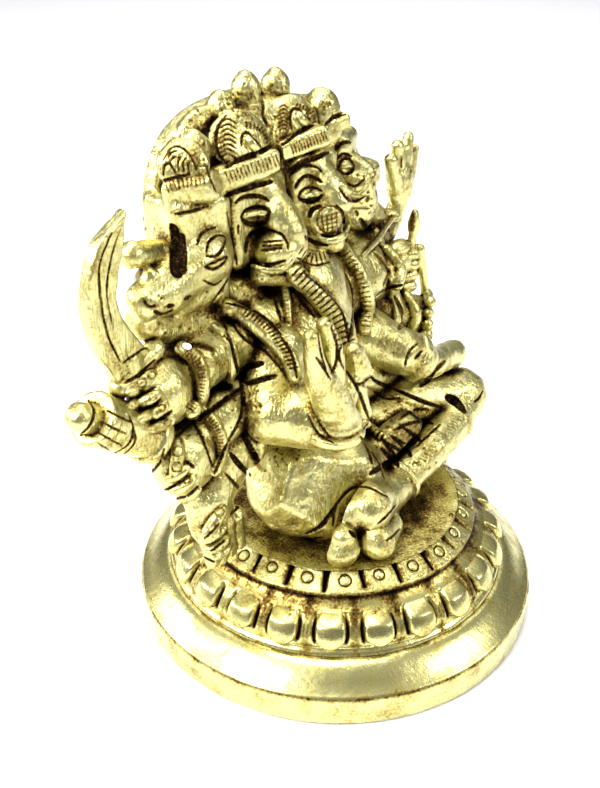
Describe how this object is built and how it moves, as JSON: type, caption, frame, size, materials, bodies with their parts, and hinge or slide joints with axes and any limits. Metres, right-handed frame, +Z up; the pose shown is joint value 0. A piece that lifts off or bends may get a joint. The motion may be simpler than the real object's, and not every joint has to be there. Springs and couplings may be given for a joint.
{
  "type": "panchamukhi hanuman statue",
  "caption": "Small cast brass idol: seated many-armed monkey deity with a row of heads, halo plate, curved sword and mace, on a round lotus plinth.",
  "frame": {"origin": "centre of the plinth's flat underside", "axes": "+Z up; the figure looks along -Y, its right side is -X"},
  "size_m": [0.08, 0.066, 0.0835],
  "materials": {
    "brass_figure": "cast and hand-filed yellow brass, dark antique wax in the cuts",
    "brass_plinth": "turned and buffed yellow brass, dark antique wax between the petals"
  },
  "bodies": {
    "root": {"figure": "brass_figure", "plinth": "brass_plinth"}
  },
  "joints": []
}
